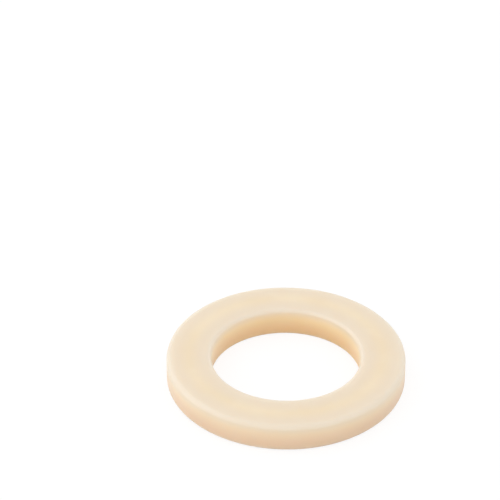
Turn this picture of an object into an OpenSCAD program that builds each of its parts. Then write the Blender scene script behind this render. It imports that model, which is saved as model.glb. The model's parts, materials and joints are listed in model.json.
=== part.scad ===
// Flat plastic sealing washer for a 3/4 inch (G3/4) union nut.
// A plain ring of rectangular section, with its four edges rounded.
// The origin is on the bore's axis, at the underside. +Z is up, along the bore.

/* [Ring] */
// Outer diameter, which drops into the union nut
outer_d = 24; // [20:0.5:60]
// Bore diameter, which the pipe's end opens into
bore_d = 15; // [6:0.5:16]
// Thickness from one sealing face to the other
thickness = 3; // [2:0.1:8]

/* [Edges] */
// Radius of the two edges round the outside
rim_edge_r = 0.5; // [0.1:0.05:0.9]
// Radius of the two edges round the bore
bore_edge_r = 0.35; // [0.1:0.05:0.9]

/* [Hidden] */

outer_r = outer_d / 2;
bore_r = bore_d / 2;
turn_facets = 180;
edge_facets = 48;

// One rounded corner of the section, from its centre out to the two faces it joins
module corner(centre_r, centre_z, edge_r) {
  translate([centre_r, centre_z])
    circle(r = edge_r, $fn = edge_facets);
}

// Strip of the section between an edge's two corners, from one face's height to the other
module side_strip(from_r, to_r, edge_r) {
  translate([from_r, edge_r])
    square([to_r - from_r, thickness - 2 * edge_r]);
}

// Half section in the plane of the axis: radius across, height up
module section() {
  bore_side_r = bore_r + bore_edge_r;
  rim_side_r = outer_r - rim_edge_r;
  union() {
    translate([bore_side_r, 0])
      square([rim_side_r - bore_side_r, thickness]);
    side_strip(bore_r, bore_side_r, bore_edge_r);
    side_strip(rim_side_r, outer_r, rim_edge_r);
    for (z = [bore_edge_r, thickness - bore_edge_r])
      corner(bore_side_r, z, bore_edge_r);
    for (z = [rim_edge_r, thickness - rim_edge_r])
      corner(rim_side_r, z, rim_edge_r);
  }
}

// Ring moulded in one piece
module washer() {
  color("#f2e0c4")
    rotate_extrude($fn = turn_facets)
      section();
}

washer();
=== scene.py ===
"""Looks for a flat nylon sealing washer that lies on a white studio floor.

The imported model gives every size. This file adds the moulded surface, the nylon and the studio.
"""
import json
import math

import bmesh
import bpy
from mathutils import Matrix, Vector, noise


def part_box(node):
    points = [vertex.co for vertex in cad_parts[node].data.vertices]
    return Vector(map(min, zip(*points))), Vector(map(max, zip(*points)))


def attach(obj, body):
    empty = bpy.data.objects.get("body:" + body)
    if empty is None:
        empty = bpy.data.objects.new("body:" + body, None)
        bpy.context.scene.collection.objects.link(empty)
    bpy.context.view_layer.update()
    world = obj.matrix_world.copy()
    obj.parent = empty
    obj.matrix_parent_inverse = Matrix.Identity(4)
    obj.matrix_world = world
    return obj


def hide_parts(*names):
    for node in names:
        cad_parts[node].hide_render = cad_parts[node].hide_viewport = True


bl_info = {
    "name": "Nylon Sealing Washer",
    "version": (1, 0, 0),
    "blender": (4, 5, 0),
    "location": "3D View > Sidebar > Washer",
    "description": "Builds a moulded nylon sealing washer and the white studio that it lies in",
    "category": "Object",
}

MM = 0.001
NYLON_IOR = 1.53

# Noise values between which the clouds and the grain go from none to their full effect
CLOUD_SPAN = (0.35, 0.65)
GRAIN_SPAN = (0.3, 0.7)

# How far the grain moves the roughness either way
ROUGHNESS_SWING = 0.03

# Share of the sweep's true shading that the camera sees, and the glow that fills it up to white
SHADING_SHARE = 0.2
WHITE_FILL = 0.83

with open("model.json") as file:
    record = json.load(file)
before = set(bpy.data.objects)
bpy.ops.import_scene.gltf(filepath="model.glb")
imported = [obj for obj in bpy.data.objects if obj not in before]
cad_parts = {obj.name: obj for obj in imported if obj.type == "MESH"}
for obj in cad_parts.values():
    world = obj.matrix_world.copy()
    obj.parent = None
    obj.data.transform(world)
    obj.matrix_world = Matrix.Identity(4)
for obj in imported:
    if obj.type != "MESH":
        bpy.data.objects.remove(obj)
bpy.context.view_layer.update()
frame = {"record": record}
MOUNTS = {mount["name"]: mount for mount in frame["record"]["mounts"]}
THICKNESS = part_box("washer")[1].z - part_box("washer")[0].z


def mount_size(mount, key):
    """A mount's size in metres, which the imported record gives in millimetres."""
    return MOUNTS[mount]["dims"][key] * MM


def hex_to_linear(text):
    """Linear red, green and blue of an sRGB hex colour such as #F2E0C4."""
    shares = [int(text[i:i + 2], 16) / 255 for i in (1, 3, 5)]
    return tuple(s / 12.92 if s <= 0.04045 else ((s + 0.055) / 1.055) ** 2.4 for s in shares)


class WasherRingSettings(bpy.types.PropertyGroup):
    """Sizes of the moulded ring."""

    outer_r: bpy.props.FloatProperty(
        name="Outer Radius",
        description="Radius of the outside wall",
        default=mount_size("rim", "r_mm"),
        min=1 * MM,
        unit="LENGTH",
    )
    bore_r: bpy.props.FloatProperty(
        name="Bore Radius",
        description="Radius of the bore's wall",
        default=mount_size("bore", "r_mm"),
        min=0.5 * MM,
        unit="LENGTH",
    )
    thickness: bpy.props.FloatProperty(
        name="Thickness",
        description="From one sealing face to the other",
        default=THICKNESS,
        min=0.5 * MM,
        unit="LENGTH",
    )
    rim_edge_r: bpy.props.FloatProperty(
        name="Rim Edge Radius",
        description="Rounding of the two edges round the outside",
        default=(THICKNESS - mount_size("rim", "length_mm")) / 2,
        min=0.05 * MM,
        unit="LENGTH",
    )
    bore_edge_r: bpy.props.FloatProperty(
        name="Bore Edge Radius",
        description="Rounding of the two edges round the bore",
        default=(THICKNESS - mount_size("bore", "length_mm")) / 2,
        min=0.05 * MM,
        unit="LENGTH",
    )
    sink: bpy.props.FloatProperty(
        name="Sink",
        description="How far the nylon's shrinkage hollows each sealing face at its middle",
        default=0.015 * MM,
        min=0.0,
        unit="LENGTH",
    )
    unevenness: bpy.props.FloatProperty(
        name="Unevenness",
        description="How far the moulded surface lies inside its true shape at most",
        default=0.02 * MM,
        min=0.0,
        unit="LENGTH",
    )
    uneven_width: bpy.props.FloatProperty(
        name="Unevenness Width",
        description="Width of one shallow swell of the uneven surface",
        default=5 * MM,
        min=0.5 * MM,
        unit="LENGTH",
    )
    turn_steps: bpy.props.IntProperty(
        name="Steps Round",
        description="Number of faces once round the ring",
        default=480,
        min=24,
    )
    edge_steps: bpy.props.IntProperty(
        name="Steps on Edges",
        description="Number of faces across each rounded edge",
        default=12,
        min=2,
    )
    flat_steps: bpy.props.IntProperty(
        name="Steps on Flats",
        description="Number of faces across each sealing face and each wall",
        default=14,
        min=2,
    )


class WasherNylonSettings(bpy.types.PropertyGroup):
    """Colours and finish of the nylon, with light and shade painted into some colours."""

    colour: bpy.props.FloatVectorProperty(
        name="Colour",
        description="Colour of the natural nylon in the middle of a sealing face",
        subtype="COLOR",
        min=0.0,
        max=1.0,
        default=hex_to_linear("#F4E4C8"),
    )
    cloud_colour: bpy.props.FloatVectorProperty(
        name="Cloud Colour",
        description="Colour of a face's faint yellower clouds, where the nylon cooled more slowly",
        subtype="COLOR",
        min=0.0,
        max=1.0,
        default=hex_to_linear("#F1E0C2"),
    )
    # Painted light and shade: less yellow and a little darker beside the rounded edges
    edge_painted_light_and_shade: bpy.props.FloatVectorProperty(
        name="Edge Colour",
        description="Less yellow colour beside the rounded edges, where light meets little nylon",
        subtype="COLOR",
        min=0.0,
        max=1.0,
        default=hex_to_linear("#EDDEC8"),
    )
    # Painted shade: greyer on the rounded edges, toning down their highlight
    rounding_painted_shade: bpy.props.FloatVectorProperty(
        name="Rounding Colour",
        description="Slightly greyer colour on the rounded edges themselves",
        subtype="COLOR",
        min=0.0,
        max=1.0,
        default=hex_to_linear("#EADBC7"),
    )
    # Painted shade and amber glow under the outside wall's top edge
    rim_painted_shade_and_glow: bpy.props.FloatVectorProperty(
        name="Rim Colour",
        description="Colour of the outside wall under its top edge, where amber starts to show",
        subtype="COLOR",
        min=0.0,
        max=1.0,
        default=hex_to_linear("#F2DEC0"),
    )
    # Painted shade and amber glow, darkest at the outside wall's foot
    rim_foot_painted_shade_and_glow: bpy.props.FloatVectorProperty(
        name="Rim Foot Colour",
        description="Amber at the outside wall's foot, where light comes through more nylon",
        subtype="COLOR",
        min=0.0,
        max=1.0,
        default=hex_to_linear("#EECEB0"),
    )
    # Painted shade and amber glow under the bore's top edge
    bore_painted_shade_and_glow: bpy.props.FloatVectorProperty(
        name="Bore Colour",
        description="Colour of the bore's wall under its top edge",
        subtype="COLOR",
        min=0.0,
        max=1.0,
        default=hex_to_linear("#FFE4BC"),
    )
    # Painted shade and amber glow, deepest at the foot of the bore's wall
    bore_foot_painted_shade_and_glow: bpy.props.FloatVectorProperty(
        name="Bore Foot Colour",
        description="Deeper amber colour at the foot of the bore's wall",
        subtype="COLOR",
        min=0.0,
        max=1.0,
        default=hex_to_linear("#FFCFA1"),
    )
    edge_width: bpy.props.FloatProperty(
        name="Edge Width",
        description="How far in from the edges their colour fades into that of the face",
        default=1.6 * MM,
        min=0.1 * MM,
        unit="LENGTH",
    )
    cloud_width: bpy.props.FloatProperty(
        name="Cloud Width",
        description="Width of one faint cloud",
        default=4 * MM,
        min=0.1 * MM,
        unit="LENGTH",
    )
    grain_width: bpy.props.FloatProperty(
        name="Grain Width",
        description="Width of one bump of the mould's fine matt grain",
        default=0.22 * MM,
        min=0.01 * MM,
        unit="LENGTH",
    )
    grain_height: bpy.props.FloatProperty(
        name="Grain Height",
        description="Height of one bump of the mould's fine matt grain",
        default=0.0025 * MM,
        min=0.0,
        unit="LENGTH",
    )
    roughness: bpy.props.FloatProperty(
        name="Roughness",
        description="Roughness of the satin surface",
        default=0.4,
        min=0.0,
        max=1.0,
        subtype="FACTOR",
    )
    scatter_depth: bpy.props.FloatProperty(
        name="Scatter Depth",
        description="How far light travels in the nylon between two scatterings",
        default=1.6 * MM,
        min=0.0,
        unit="LENGTH",
    )


class WasherStudioSettings(bpy.types.PropertyGroup):
    """Camera, floor and lamps."""

    camera_elevation: bpy.props.FloatProperty(
        name="Camera Elevation",
        description="How far down from level the camera looks",
        default=math.radians(34.1),
        subtype="ANGLE",
    )
    camera_roll: bpy.props.FloatProperty(
        name="Camera Roll",
        description="Turn of the camera about its own line of sight",
        default=math.radians(0.08),
        subtype="ANGLE",
    )
    camera_distance: bpy.props.FloatProperty(
        name="Camera Distance",
        description="From the camera to the point on the floor that it looks at",
        default=299.3 * MM,
        min=10 * MM,
        unit="LENGTH",
    )
    camera_aim: bpy.props.FloatVectorProperty(
        name="Camera Aim",
        description="Point on the floor that the camera looks at, from the bore's axis",
        size=2,
        default=(-3.63 * MM, 23.0 * MM),
        unit="LENGTH",
    )
    lens: bpy.props.FloatProperty(
        name="Lens",
        description="Focal length in millimetres, on a sensor 36 mm wide",
        default=200.0,
        min=20.0,
        unit="CAMERA",
    )
    lamp_share: bpy.props.FloatProperty(
        name="Lamp Share",
        description="Every lamp's power, as a share of its full power",
        default=1.0,
        min=0.0,
        max=2.0,
        subtype="FACTOR",
    )
    ambient: bpy.props.FloatProperty(
        name="Ambient",
        description="Brightness of the white tent round the set, as matt surfaces receive it",
        default=0.887,
        min=0.0,
        max=1.0,
        subtype="FACTOR",
    )
    floor_colour: bpy.props.FloatVectorProperty(
        name="Floor Colour",
        description="Colour of the white sweep under the washer",
        subtype="COLOR",
        min=0.0,
        max=1.0,
        default=hex_to_linear("#F8F8F8"),
    )


def add_node(tree, kind, settings=None, inputs=None):
    """Adds a node. Inputs go by name or number, each to a value or the output that feeds it."""
    node = tree.nodes.new(kind)
    for name, value in (settings or {}).items():
        setattr(node, name, value)
    for key, value in (inputs or {}).items():
        if isinstance(value, bpy.types.NodeSocket):
            tree.links.new(value, node.inputs[key])
        else:
            node.inputs[key].default_value = value
    return node


def empty_tree(owner):
    """Turns nodes on for a material or world, and returns its tree with none in it."""
    owner.use_nodes = True
    owner.node_tree.nodes.clear()
    return owner.node_tree


# Natural polyamide 66, injection moulded in a mould with a finely blasted surface.
# The eye sees a soft satin sheen over a waxy cream body that light enters, and faint clouds lie in
# the flat faces. Light and shade are painted into its colour: painted light and shade make it less
# yellow beside the rounded edges, painted shade makes it a little greyer on them, and painted
# shade with a painted amber glow darkens the walls towards their foot and most in the bore. The
# real grain is too fine to show, so it is drawn twice as coarse.
def moulded_nylon(nylon, ring):
    """Material of the ring."""
    material = bpy.data.materials.new("moulded_natural_nylon")
    tree = empty_tree(material)
    place = add_node(tree, "ShaderNodeTexCoord").outputs["Object"]
    cloud = add_node(tree, "ShaderNodeTexNoise", inputs={
        "Vector": place,
        "Scale": 1 / nylon.cloud_width,
        "Detail": 3.0,
        "Roughness": 0.45,
    })
    cloud_share = add_node(tree, "ShaderNodeMapRange", {"interpolation_type": "SMOOTHSTEP"}, {
        "Value": cloud.outputs["Fac"],
        "From Min": CLOUD_SPAN[0],
        "From Max": CLOUD_SPAN[1],
    })
    face = add_node(tree, "ShaderNodeMixRGB", inputs={
        "Fac": cloud_share.outputs["Result"],
        "Color1": (*nylon.colour, 1.0),
        "Color2": (*nylon.cloud_colour, 1.0),
    })
    place_parts = add_node(tree, "ShaderNodeSeparateXYZ", inputs={"Vector": place})
    level = add_node(tree, "ShaderNodeCombineXYZ", inputs={
        "X": place_parts.outputs["X"],
        "Y": place_parts.outputs["Y"],
    })
    radius = add_node(tree, "ShaderNodeVectorMath", {"operation": "LENGTH"}, {
        "Vector": level.outputs["Vector"],
    }).outputs["Value"]
    middle_r = (ring.outer_r + ring.bore_r) / 2
    half_width = (ring.outer_r - ring.bore_r) / 2
    flat_end = 0.85 * (half_width - ring.rim_edge_r)
    wall_start = 0.85 * half_width
    wall_end = 0.95 * half_width
    # Heights that shape the walls' painted shade and amber glow
    painted_glow_full_height = 0.58 * ring.thickness
    foot_top = 0.85 * ring.thickness
    foot_bottom = 0.05 * ring.thickness
    from_middle = add_node(tree, "ShaderNodeMath", {"operation": "SUBTRACT"}, {
        0: radius,
        1: middle_r,
    })
    off_middle = add_node(tree, "ShaderNodeMath", {"operation": "ABSOLUTE"}, {
        0: from_middle.outputs["Value"],
    })
    # Painted light and shade beside the rounded edges
    edge_painted_light_share = add_node(tree, "ShaderNodeMapRange", {"interpolation_type": "SMOOTHSTEP"}, {
        "Value": off_middle.outputs["Value"],
        "From Min": flat_end - nylon.edge_width,
        "From Max": flat_end,
    })
    near_wall = add_node(tree, "ShaderNodeMapRange", {"interpolation_type": "SMOOTHSTEP"}, {
        "Value": off_middle.outputs["Value"],
        "From Min": wall_start,
        "From Max": wall_end,
    })
    # Painted shade on the rounded edges
    shade_share_on_rounding = add_node(tree, "ShaderNodeMapRange", {"interpolation_type": "SMOOTHSTEP"}, {
        "Value": off_middle.outputs["Value"],
        "From Min": flat_end,
        "From Max": wall_end,
    })
    edge = add_node(tree, "ShaderNodeMixRGB", inputs={
        "Fac": shade_share_on_rounding.outputs["Result"],
        "Color1": (*nylon.edge_painted_light_and_shade, 1.0),
        "Color2": (*nylon.rounding_painted_shade, 1.0),
    })
    flat = add_node(tree, "ShaderNodeMixRGB", inputs={
        "Fac": edge_painted_light_share.outputs["Result"],
        "Color1": face.outputs["Color"],
        "Color2": edge.outputs["Color"],
    })
    outside = add_node(tree, "ShaderNodeMath", {"operation": "GREATER_THAN"}, {
        0: radius,
        1: middle_r,
    })
    # Painted shade and amber glow on the walls, growing towards the foot and strongest in the bore
    wall_top_painted_glow = add_node(tree, "ShaderNodeMixRGB", inputs={
        "Fac": outside.outputs["Value"],
        "Color1": (*nylon.bore_painted_shade_and_glow, 1.0),
        "Color2": (*nylon.rim_painted_shade_and_glow, 1.0),
    })
    foot = add_node(tree, "ShaderNodeMixRGB", inputs={
        "Fac": outside.outputs["Value"],
        "Color1": (*nylon.bore_foot_painted_shade_and_glow, 1.0),
        "Color2": (*nylon.rim_foot_painted_shade_and_glow, 1.0),
    })
    painted_glow_below_top = add_node(tree, "ShaderNodeMapRange", {"interpolation_type": "SMOOTHSTEP"}, {
        "Value": place_parts.outputs["Z"],
        "From Min": ring.thickness,
        "From Max": painted_glow_full_height,
    })
    painted_glow_at_foot = add_node(tree, "ShaderNodeMapRange", {"interpolation_type": "SMOOTHSTEP"}, {
        "Value": place_parts.outputs["Z"],
        "From Min": foot_top,
        "From Max": foot_bottom,
    })
    wall = add_node(tree, "ShaderNodeMixRGB", inputs={
        "Fac": painted_glow_at_foot.outputs["Result"],
        "Color1": wall_top_painted_glow.outputs["Color"],
        "Color2": foot.outputs["Color"],
    })
    painted_shade_glow_share = add_node(tree, "ShaderNodeMath", {"operation": "MULTIPLY"}, {
        0: painted_glow_below_top.outputs["Result"],
        1: near_wall.outputs["Result"],
    })
    colour_with_painted_light = add_node(tree, "ShaderNodeMixRGB", inputs={
        "Fac": painted_shade_glow_share.outputs["Value"],
        "Color1": flat.outputs["Color"],
        "Color2": wall.outputs["Color"],
    })
    grain = add_node(tree, "ShaderNodeTexNoise", inputs={
        "Vector": place,
        "Scale": 1 / nylon.grain_width,
        "Detail": 2.0,
        "Roughness": 0.5,
    })
    sheen = add_node(tree, "ShaderNodeMapRange", inputs={
        "Value": grain.outputs["Fac"],
        "From Min": GRAIN_SPAN[0],
        "From Max": GRAIN_SPAN[1],
        "To Min": nylon.roughness - ROUGHNESS_SWING,
        "To Max": nylon.roughness + ROUGHNESS_SWING,
    })
    relief = add_node(tree, "ShaderNodeBump", inputs={
        "Height": grain.outputs["Fac"],
        "Distance": nylon.grain_height,
        "Strength": 1.0,
    })
    shader = add_node(tree, "ShaderNodeBsdfPrincipled", {"subsurface_method": "RANDOM_WALK"}, {
        "Base Color": colour_with_painted_light.outputs["Color"],
        "Roughness": sheen.outputs["Result"],
        "IOR": NYLON_IOR,
        "Subsurface Weight": 1.0,
        "Subsurface Radius": (1.0, 1.0, 1.0),
        "Subsurface Scale": nylon.scatter_depth,
        "Normal": relief.outputs["Normal"],
    })
    add_node(tree, "ShaderNodeOutputMaterial", inputs={"Surface": shader.outputs["BSDF"]})
    return material


def seen_directly(tree):
    """Output that is 1 for what the camera sees, straight or in a reflection, and 0 for light."""
    path = add_node(tree, "ShaderNodeLightPath").outputs
    mirrored = add_node(tree, "ShaderNodeMath", {"operation": "MAXIMUM"}, {
        0: path["Is Glossy Ray"],
        1: path["Is Transmission Ray"],
    })
    seen = add_node(tree, "ShaderNodeMath", {"operation": "MAXIMUM"}, {
        0: path["Is Camera Ray"],
        1: mirrored.outputs["Value"],
    })
    return seen.outputs["Value"]


# Matt white paper sweep. It sends light up to the washer as paper does, and the camera sees it
# as plain white that only the washer's own soft shadow tones down.
def white_sweep(studio):
    """Material of the floor."""
    material = bpy.data.materials.new("matt_white_paper")
    tree = empty_tree(material)
    paper = add_node(tree, "ShaderNodeBsdfDiffuse", inputs={"Color": (*studio.floor_colour, 1.0)})
    shaded = add_node(tree, "ShaderNodeBsdfDiffuse", inputs={
        "Color": (SHADING_SHARE, SHADING_SHARE, SHADING_SHARE, 1.0),
    })
    glow = add_node(tree, "ShaderNodeEmission", inputs={"Strength": WHITE_FILL})
    shown = add_node(tree, "ShaderNodeAddShader", inputs={
        0: shaded.outputs["BSDF"],
        1: glow.outputs["Emission"],
    })
    surface = add_node(tree, "ShaderNodeMixShader", inputs={
        0: seen_directly(tree),
        1: paper.outputs["BSDF"],
        2: shown.outputs["Shader"],
    })
    add_node(tree, "ShaderNodeOutputMaterial", inputs={"Surface": surface.outputs["Shader"]})
    return material


def white_tent(studio):
    """World: plain white to the camera, and a softer white light on matt surfaces."""
    world = bpy.data.worlds.new("white_tent")
    tree = empty_tree(world)
    strength = add_node(tree, "ShaderNodeMapRange", inputs={
        "Value": seen_directly(tree),
        "To Min": studio.ambient,
        "To Max": 1.0,
    })
    light = add_node(tree, "ShaderNodeBackground", inputs={
        "Color": (1.0, 1.0, 1.0, 1.0),
        "Strength": strength.outputs["Result"],
    })
    add_node(tree, "ShaderNodeOutputWorld", inputs={"Surface": light.outputs["Background"]})
    return world


def spread(start, end, steps):
    """Points between start and end, closer together near both."""
    shares = [(1 - math.cos(math.pi * i / steps)) / 2 for i in range(1, steps)]
    return [start.lerp(end, share) for share in shares]


def quarter_arc(centre_r, centre_z, edge_r, start, steps):
    """Points along a quarter turn anticlockwise from start, in degrees, as (radius, height)."""
    turns = [math.radians(start + 90 * i / steps) for i in range(steps + 1)]
    return [
        Vector((centre_r + edge_r * math.cos(a), centre_z + edge_r * math.sin(a)))
        for a in turns
    ]


def half_section(ring):
    """Outline of the section, anticlockwise from the outside wall's foot, as (radius, height)."""
    rim_r = ring.outer_r - ring.rim_edge_r
    bore_r = ring.bore_r + ring.bore_edge_r
    corners = [
        (rim_r, ring.rim_edge_r, ring.rim_edge_r, -90),
        (rim_r, ring.thickness - ring.rim_edge_r, ring.rim_edge_r, 0),
        (bore_r, ring.thickness - ring.bore_edge_r, ring.bore_edge_r, 90),
        (bore_r, ring.bore_edge_r, ring.bore_edge_r, 180),
    ]
    arcs = [quarter_arc(*corner, ring.edge_steps) for corner in corners]
    outline = []
    for arc, next_arc in zip(arcs, arcs[1:] + arcs[:1]):
        outline += arc + spread(arc[-1], next_arc[0], ring.flat_steps)
    return outline


def moulded(point, ring):
    """A point of the true ring, moved inwards to where the moulded nylon's surface lies."""
    radius = math.hypot(point.x, point.y)
    middle = Vector((point.x, point.y, 0)) * ((ring.outer_r + ring.bore_r) / 2 / radius)
    middle.z = ring.thickness / 2
    across = (radius - ring.bore_r) / (ring.outer_r - ring.bore_r)
    sink = ring.sink * 4 * across * (1 - across)
    level = 2 * point.z / ring.thickness - 1
    swell = noise.noise(point / ring.uneven_width)
    inwards = (middle - point).normalized()
    moved = point + inwards * ring.unevenness * (0.5 + 0.5 * swell)
    moved.z -= sink * level
    moved.z = max(moved.z, 0.0) if point.z > 0 else 0.0
    return moved


def ring_mesh(ring):
    """Closed mesh of the ring: the section's outline, carried once round the axis."""
    outline = half_section(ring)
    mesh = bmesh.new()
    loops = []
    for i in range(ring.turn_steps):
        turn = Matrix.Rotation(2 * math.pi * i / ring.turn_steps, 3, "Z")
        points = [moulded(turn @ Vector((p.x, 0, p.y)), ring) for p in outline]
        loops.append([mesh.verts.new(point) for point in points])
    for here, there in zip(loops, loops[1:] + loops[:1]):
        for j in range(len(outline)):
            k = (j + 1) % len(outline)
            face = mesh.faces.new((here[j], there[j], there[k], here[k]))
            face.smooth = True
    bmesh.ops.recalc_face_normals(mesh, faces=mesh.faces)
    data = bpy.data.meshes.new("washer_ring")
    mesh.to_mesh(data)
    mesh.free()
    return data


def link(name, data):
    """A new object in the scene."""
    item = bpy.data.objects.new(name, data)
    bpy.context.scene.collection.objects.link(item)
    return item


def add_floor(studio):
    """White sweep, far wider than any view of the washer."""
    half = 1.5
    data = bpy.data.meshes.new("floor")
    corners = [(-half, -half, 0), (half, -half, 0), (half, half, 0), (-half, half, 0)]
    data.from_pydata(corners, [], [(0, 1, 2, 3)])
    data.materials.append(white_sweep(studio))
    link("floor", data)


# From the washer to each softbox, in metres
LAMP_DISTANCE = 0.7

# Name, azimuth and elevation in degrees, width and height in metres, and power in watts
LAMPS = [
    ("softbox_left", 180, 32, 0.32, 0.72, 0.364),
    ("softbox_left_low", 180, 12, 0.32, 0.28, 0.335),
    ("softbox_front_left", 225, 35, 0.4, 0.5, 0.2),
    ("softbox_back_left", 135, 35, 0.4, 0.5, 0.136),
    ("softbox_back_right", 50, 35, 0.4, 0.5, 0.088),
]


def add_lamp(name, azimuth, elevation, width, height, power):
    """A softbox that faces the washer. Azimuth is in degrees from +X towards +Y."""
    lamp = bpy.data.lights.new(name, "AREA")
    lamp.shape = "RECTANGLE"
    lamp.size = width
    lamp.size_y = height
    lamp.energy = power
    item = link(name, lamp)
    a, e = math.radians(azimuth), math.radians(elevation)
    back = Vector((math.cos(a) * math.cos(e), math.sin(a) * math.cos(e), math.sin(e)))
    item.location = back * LAMP_DISTANCE
    item.rotation_euler = back.to_track_quat("Z", "Y").to_euler()
    item.visible_camera = False


def add_camera(studio):
    """Long lens on the aim point, level but for its roll."""
    camera = bpy.data.cameras.new("camera")
    camera.lens = studio.lens
    camera.sensor_width = 36.0
    item = link("camera", camera)
    tilt = studio.camera_elevation
    right = Vector((1, 0, 0))
    back = Vector((0, -math.cos(tilt), math.sin(tilt)))
    axes = Matrix((right, back.cross(right), back)).transposed().to_4x4()
    place = Matrix.Translation(Vector((*studio.camera_aim, 0)) + back * studio.camera_distance)
    item.matrix_world = place @ axes @ Matrix.Rotation(studio.camera_roll, 4, "Z")
    bpy.context.scene.camera = item


class WASHER_OT_add_ring(bpy.types.Operator):
    """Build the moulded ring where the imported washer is"""

    bl_idname = "washer.add_ring"
    bl_label = "Add Ring"
    bl_options = {"REGISTER", "UNDO"}

    def execute(self, context):
        data = ring_mesh(context.scene.washer_ring)
        data.materials.append(moulded_nylon(context.scene.washer_nylon, context.scene.washer_ring))
        ring = link("washer_ring", data)
        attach(ring, "root")
        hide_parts("washer")
        return {"FINISHED"}


class WASHER_OT_set_studio(bpy.types.Operator):
    """Set up the white floor, tent, softboxes and camera"""

    bl_idname = "washer.set_studio"
    bl_label = "Set Studio"
    bl_options = {"REGISTER", "UNDO"}

    def execute(self, context):
        studio = context.scene.washer_studio
        add_floor(studio)
        context.scene.world = white_tent(studio)
        for name, azimuth, elevation, width, height, power in LAMPS:
            add_lamp(name, azimuth, elevation, width, height, power * studio.lamp_share)
        add_camera(studio)
        context.scene.view_settings.view_transform = "Standard"
        return {"FINISHED"}


class WASHER_PT_sidebar(bpy.types.Panel):
    """Sizes, finish and studio of the washer"""

    bl_idname = "WASHER_PT_sidebar"
    bl_label = "Sealing Washer"
    bl_space_type = "VIEW_3D"
    bl_region_type = "UI"
    bl_category = "Washer"

    def draw(self, context):
        groups = [
            (context.scene.washer_ring, "washer.add_ring"),
            (context.scene.washer_nylon, None),
            (context.scene.washer_studio, "washer.set_studio"),
        ]
        for settings, operator in groups:
            column = self.layout.column()
            for name in settings.__annotations__:
                column.prop(settings, name)
            if operator:
                column.operator(operator)


SETTINGS = {
    "washer_ring": WasherRingSettings,
    "washer_nylon": WasherNylonSettings,
    "washer_studio": WasherStudioSettings,
}
CLASSES = [*SETTINGS.values(), WASHER_OT_add_ring, WASHER_OT_set_studio, WASHER_PT_sidebar]


def register():
    """Registers the classes, and adds the settings to every scene."""
    for cls in CLASSES:
        bpy.utils.register_class(cls)
    for name, cls in SETTINGS.items():
        setattr(bpy.types.Scene, name, bpy.props.PointerProperty(type=cls))


def unregister():
    """Undoes register."""
    for name in SETTINGS:
        delattr(bpy.types.Scene, name)
    for cls in reversed(CLASSES):
        bpy.utils.unregister_class(cls)


def main():
    """Builds the washer and its studio."""
    register()
    bpy.ops.washer.add_ring()
    bpy.ops.washer.set_studio()


if __name__ == "__main__":
    main()
